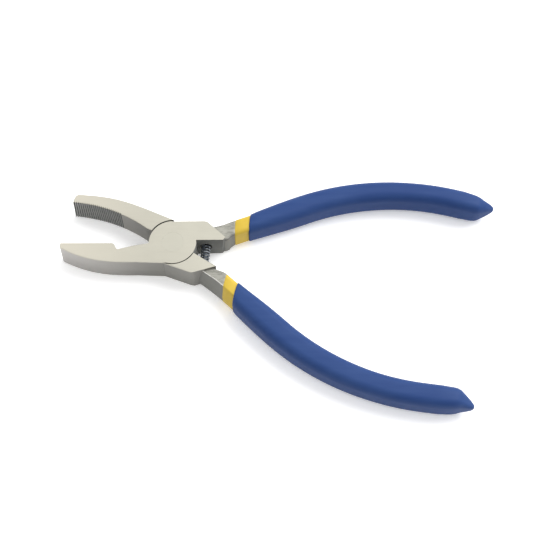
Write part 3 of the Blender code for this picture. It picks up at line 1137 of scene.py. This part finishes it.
@dataclass
class Grip(Coat):
    """Second dip: a thick sleeve that swells for the hand and ends where the last drop hung.

    Each row of lip gives how far behind the mouth it is and how much thinner. Each row of drop gives its
    place past the taper, its half-width and half-height, and its shift sideways and upwards.
    """

    smooth: float = 50.0
    cavity_end: float = 108.0
    mouth: Point = (3.55, 5.35)
    full: Point = (4.45, 5.58)
    swell_x: Point = (27.0, 46.0)
    slim: float = 0.45
    slim_length: float = 40.0
    corner: float = 3.3
    cavity_corner: float = 1.4
    taper_x: float = 110.3
    cavity: Point = (3.05, 4.85)
    lip: tuple[Point, ...] = ((0.0, 0.3), (0.06, 0.16), (0.2, 0.05), (0.45, 0.0))
    drop: tuple[tuple[float, float, float, float, float], ...] = (
        (-3.0, 3.85, 5.5, -0.05, 0.0), (-1.2, 3.75, 5.42, -0.1, 0.0), (0.0, 3.62, 5.3, -0.16, 0.0),
        (1.0, 3.4, 5.08, -0.2, 0.0), (1.8, 3.12, 4.72, -0.15, 0.0), (2.5, 2.74, 4.2, -0.02, -0.02),
        (3.2, 2.4, 3.75, 0.18, -0.05), (3.9, 2.1, 3.3, 0.38, -0.08), (4.6, 1.79, 2.75, 0.58, -0.1),
        (5.2, 1.51, 2.2, 0.76, -0.12), (5.7, 1.22, 1.75, 0.93, -0.14), (6.1, 0.98, 1.35, 1.03, -0.15),
        (6.4, 0.75, 1.0, 1.1, -0.15), (6.6, 0.52, 0.68, 1.12, -0.15), (6.7, 0.25, 0.32, 1.15, -0.15))

    def section(self, x: float) -> Point:
        """Half-width and half-height at x."""
        start, end = self.swell_x
        swell = math.sin(math.pi / 2 * min(max((x - start) / (end - start), 0.0), 1.0))
        slim = self.slim * min(max((x - end) / self.slim_length, 0.0), 1.0)
        wide = self.mouth[0] + (self.full[0] - self.mouth[0]) * swell - slim + self.dips.extra_width
        return wide, self.mouth[1] + (self.full[1] - self.mouth[1]) * swell

    def build(self) -> Piece:
        """Models the grip and lays it in its place."""
        start, tilt = self.dips.grip_x, self.dips.grip_tilt
        extra = self.dips.extra_width
        rings = []
        for back, less in self.lip:
            wide, tall = self.section(start + back)
            rings.append(Ring(start + back, wide - less, tall - less, tilt=tilt))
        taper_x = self.taper_x + self.dips.extra_length
        rings += [Ring(x, *self.section(x)) for x in spread(start + 3.4, taper_x - 4.6, 38)]
        for past, wide, tall, sideways, rise in self.drop:
            rings.append(Ring(taper_x + past, wide + extra * wide / 3.7, tall, sideways, rise))
        grip = straight_stock(self.side.value + "_grip_skin", rings, self.corner, 8)
        self.hollow_out(grip, start, (self.cavity[0] + extra, self.cavity[1]), self.cavity_corner)
        return grip


# Pivot and spring


@dataclass
class Rivet:
    """The flush pivot rivet: two ground heads on one shank."""

    finish: GroundSteel
    head: float = 3.85
    body: float = 2.6
    depth: float = 1.9

    def build(self) -> Piece:
        """Models the rivet by cutting one cylinder across twice and swelling its ends."""
        top = HEAD.thickness
        rivet = rod("pivot_rivet_steel", self.body, 0.0, top, sides=128)
        swell = {"value": (self.head - self.body) * MM}
        with editing(rivet, "FACE"):
            for height in (self.depth - 0.1, top - self.depth + 0.1):
                take_all()
                bpy.ops.mesh.bisect(plane_co=(0, 0, height * MM), plane_no=(0, 0, 1))
            bpy.ops.mesh.select_mode(type="FACE")
            for low, high in ((-1.0, self.depth), (top - self.depth, top + 1.0)):
                choose(rivet, "faces", lambda f: low * MM < f.calc_center_median().z < high * MM
                       and abs(f.normal.z) < 0.5)
                bpy.ops.mesh.extrude_region_shrink_fatten(TRANSFORM_OT_shrink_fatten=swell)
        point_outwards(rivet)
        return rivet

    def dress(self, rivet: Piece) -> None:
        """Paints the rivet and smooths its sides."""
        paint(rivet, [self.finish.material()], 35)
        level_shading(rivet)


@dataclass
class ReturnSpring:
    """The coil that pushes the handles apart, seated in both roots."""

    front: Root
    rear: Root
    finish: DarkWire
    radius: float = 1.4
    wire: float = 0.3
    turns: int = 11
    inset: float = 2.5
    bend_reach: float = 4.0

    def ends(self) -> tuple[Vector, Vector, Vector, Vector]:
        """Both ends of the coil's axis and the points it leaves them towards, in plan."""
        front_y = self.front.seat_y() + self.inset
        rear_y = self.rear.seat_y() + self.inset
        turn = Euler((0.0, 0.0, -HEAD.open_angle))
        rear_end = Vector((self.rear.seat_x, -rear_y, 0.0))
        rear_lead = Vector((self.rear.seat_x, self.bend_reach - rear_y, 0.0))
        rear_end.rotate(turn)
        rear_lead.rotate(turn)
        return (Vector((self.front.seat_x, front_y, 0.0)),
                Vector((self.front.seat_x, front_y - self.bend_reach, 0.0)), rear_lead, rear_end)

    def build(self) -> Piece:
        """Screws a wire section into a straight coil and bends its axis from seat to seat."""
        axis = bezier([tuple(point.xy) for point in self.ends()], 60)
        length = sum(math.dist(a, b) for a, b in zip(axis, axis[1:]))
        bpy.ops.mesh.primitive_circle_add(vertices=14, radius=self.wire * MM, rotation=(math.pi / 2, 0, 0),
                                          location=(self.radius * MM, 0, 0))
        spring = bpy.context.object
        spring.name = "return_spring_coil"
        settle(spring)
        finish_with(spring, "SCREW", angle=math.tau, screw_offset=length / self.turns * MM, axis="Z",
                    iterations=self.turns, steps=32, render_steps=32, use_merge_vertices=True,
                    merge_threshold=0.00001)
        with editing(spring, "EDGE"):
            choose(spring, "edges", lambda e: e.is_boundary)
            bpy.ops.mesh.fill_holes(sides=0)
            bpy.ops.mesh.select_mode(type="FACE")
            choose(spring, "faces", lambda f: len(f.verts) > 4)
            bpy.ops.mesh.inset(thickness=0.06 * MM)
        spring.rotation_euler = (0.0, math.pi / 2, 0.0)
        settle(spring)
        bend_along(spring, "coil_axis", axis)
        spring.location.z = HEAD.middle * MM
        settle(spring)
        point_outwards(spring)
        return spring

    def dress(self, spring: Piece) -> None:
        """Paints the coil and smooths it."""
        paint(spring, [self.finish.material()], 45)


# Studio


@dataclass
class Studio:
    """A plain pale bench, soft light and the camera."""

    camera_at: tuple[float, float, float] = (0.036745, -0.192425, 0.378683)
    camera_tilt: float = math.radians(26.0)
    lens: float = 75.73
    key_energy: float = 36.0
    key_at: tuple[float, float, float] = (1.0, 0.76, 1.55)
    key_size: float = 1.5
    sky: float = 1.0
    front_sky: float = 0.08
    bench_glow: float = 0.28
    bench_size: float = 20.0
    sky_lean: tuple[float, float, float] = (0.4, 1.0, 1.2)
    sky_fade: Point = (-0.7, 0.5)

    def build(self) -> None:
        """Makes the bench, the lights and the camera."""
        self.bench()
        self.lights()
        data = bpy.data.cameras.new("camera")
        data.lens = self.lens
        data.sensor_width = 36.0
        data.clip_start = 0.01
        camera = bpy.data.objects.new("camera", data)
        camera.location = self.camera_at
        camera.rotation_euler = (self.camera_tilt, 0.0, 0.0)
        bpy.context.scene.collection.objects.link(camera)
        bpy.context.scene.camera = camera

    def bench(self) -> None:
        """A wide pale floor just under the pliers, lit from inside like a light table."""
        bpy.ops.mesh.primitive_plane_add(size=self.bench_size, location=(0.0, 0.0, -0.05 * MM))
        bench = bpy.context.object
        bench.name = "bench"
        settle(bench)
        graph = Graph(bpy.data.materials.new("bench_white"))
        mottle = graph.noise(graph.place(), 6.0, 2.0)
        bench.data.materials.append(graph.surface(
            base_color=graph.mix(mottle, (0.93, 0.93, 0.93), (0.95, 0.95, 0.95)), roughness=0.9,
            emission_color=(1.0, 1.0, 1.0), emission_strength=self.bench_glow))

    def lights(self) -> None:
        """A large soft key from behind on the right, and a pale sky that darkens towards the front."""
        data = bpy.data.lights.new("key", "AREA")
        data.shape = "DISK"
        data.size = self.key_size
        data.energy = self.key_energy
        key = bpy.data.objects.new("key", data)
        key.location = self.key_at
        key.rotation_euler = (-Vector(self.key_at)).to_track_quat("-Z", "Y").to_euler()
        bpy.context.scene.collection.objects.link(key)
        world = bpy.data.worlds.new("studio")
        graph = Graph(world, "Background")
        where = graph.node("ShaderNodeTexCoord", {}, {}, "Generated")
        lean = 0.0
        for axis, weight in zip("XYZ", self.sky_lean):
            lean = graph.node("ShaderNodeSeparateXYZ", {}, {0: where}, axis) * weight + lean
        share = graph.ramp(lean, *self.sky_fade)
        graph.surface(color=(1.0, 1.0, 1.0), strength=share * (self.sky - self.front_sky) + self.front_sky)
        bpy.context.scene.world = world
        bpy.context.scene.view_settings.view_transform = "Standard"


# Assembly

UPRIGHT = (2600.0, 2600.0, 120.0)
STEEL = {
    # Flats and walls turn lighter towards the jaw tip; on the walls that is a painted reflection.
    Zone.FLAT: GroundSteel("ground_flats", (0.45, 0.435, 0.368), (0.42, 0.405, 0.343),
                           tip_polish_and_reflection=(0.535, 0.505, 0.425)),
    # The walls are painted about half as bright as the flats: painted shade on sides that face away from the
    # key light, with a painted reflection lighter towards the jaw tip.
    Zone.WALL: GroundSteel("milled_walls_painted_shade", (0.222, 0.216, 0.196), (0.18, 0.175, 0.16), grain_turn=0.3,
                           metal=0.5, tip_polish_and_reflection=(0.43, 0.412, 0.393)),
    # The eased rims are painted lighter than the flats: partly edge wear, partly a painted highlight along
    # the rims.
    Zone.EASED: GroundSteel("rubbed_edges_painted_highlight", (0.5, 0.48, 0.41), (0.44, 0.425, 0.36)),
    Zone.SKIN: ForgedSteel("forged_skin", (0.32, 0.315, 0.277), (0.21, 0.207, 0.182), (0.09, 0.09, 0.08)),
    # The shank's sides are painted darker than its forged top: painted shade.
    Zone.DRAWN: GroundSteel("shank_sides_painted_shade", (0.18, 0.18, 0.163), (0.14, 0.14, 0.127), roughness=0.5,
                            metal=0.5),
    # A pale painted highlight along the rear shank's ridge.
    Zone.RIDGE: GroundSteel("ridge_painted_highlight", (0.78, 0.77, 0.72), (0.6, 0.59, 0.54), roughness=0.35),
    # Dark painted shade in the throat, in the seam and on the root's inner face.
    Zone.THROAT: GroundSteel("throat_painted_shade", (0.185, 0.188, 0.178), (0.15, 0.153, 0.145), roughness=0.7,
                             metal=0.0, gloss=0.12),
    Zone.CREST: GroundSteel("tooth_crests", (0.285, 0.287, 0.277), (0.24, 0.242, 0.232), metal=0.45,
                            stretch=UPRIGHT),
    # Painted shade down in the gullets between the teeth.
    Zone.GULLET: GroundSteel("tooth_gullets_painted_shade", (0.18, 0.182, 0.176), (0.145, 0.147, 0.141), metal=0.3,
                             stretch=UPRIGHT)}
RIVET = GroundSteel("rivet_heads", (0.45, 0.437, 0.37), (0.42, 0.407, 0.345), grain_turn=0.9)
WIRE = DarkWire("blackened_wire", (0.085, 0.1, 0.12), (0.29, 0.31, 0.335))
YELLOW = DippedVinyl("yellow_dip", (0.54, 0.38, 0.045), (0.58, 0.415, 0.064), roughness=0.42, peel=0.02)
BLUE = DippedVinyl("blue_dip", (0.0175, 0.0455, 0.158), (0.028, 0.062, 0.184))

FRONT_ROOT = Root(
    shoulder=((0.3, 8.5),), outer_corner=(11.9, 8.65), slope_end=(18.8, 2.1), inner_corner=(18.25, 0.86),
    inner_degrees=5.7, seat_x=11.7, lap_radius=8.76, lap_centre=(-0.2, 0.0),
    shank_inner=(1.85, 2.65, 3.5, 3.62), shank_swell=0.58)
REAR_ROOT = Root(
    shoulder=((0.05, 8.7), (0.5, 8.93)), outer_corner=(11.3, 8.55), slope_end=(18.35, 2.75),
    inner_corner=(18.35, 2.75), inner_degrees=6.8, seat_x=12.8, lap_radius=8.93, lap_centre=(-0.07, -0.03),
    shank_inner=(1.2, 1.7, 1.9, 2.1), shank_swell=-0.65)
FRONT_DIPS = Dips(undercoat_x=22.3, undercoat_tilt=math.radians(-1.5),
                  grip_x=27.5, grip_tilt=math.radians(-4.5))
REAR_DIPS = Dips(undercoat_x=23.3, undercoat_tilt=math.radians(-9.6),
                 grip_x=28.3, grip_tilt=math.radians(-8.6), extra_length=2.4, extra_width=0.25)


def settle_on_frame(piece: Piece, side: Side, node: str) -> None:
    """Hands a finished piece to the frame and reports it.

    Args:
        piece: the finished mesh.
        side: the lever it moves with.
        node: the plain part of the frame it stands for.
    """
    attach(piece, side.value)
    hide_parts(node)
    log.info("%s stands for %s: %d faces", piece.name, node, len(piece.data.polygons))


def main() -> None:
    """Builds the levers, coats, rivet, spring and studio in order."""
    logging.basicConfig(level=logging.INFO, format="%(name)s: %(message)s")
    for side, jaw, root, dips in ((Side.FRONT, FlatJaw(), FRONT_ROOT, FRONT_DIPS),
                                  (Side.REAR, CurvedJaw(), REAR_ROOT, REAR_DIPS)):
        for maker, node, slot in ((Lever(side, jaw, root, dips, STEEL), "lever", "forged_steel"),
                                  (Undercoat(side, dips, YELLOW), "undercoat", "yellow_vinyl"),
                                  (Grip(side, dips, BLUE), "grip", "blue_vinyl")):
            piece = maker.build()
            maker.dress(piece)
            settle_on_frame(piece, side, f"{side.value}_{node}")
    rivet = Rivet(RIVET)
    piece = rivet.build()
    rivet.dress(piece)
    settle_on_frame(piece, Side.FRONT, "pivot_rivet")
    spring = ReturnSpring(FRONT_ROOT, REAR_ROOT, WIRE)
    coil = spring.build()
    spring.dress(coil)
    start, _, _, end = spring.ends()
    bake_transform(coil)
    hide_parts("return_spring")
    log.info("%s stands for return_spring: %d faces", coil.name, len(coil.data.polygons))
    Studio().build()


if __name__ == "__main__":
    main()
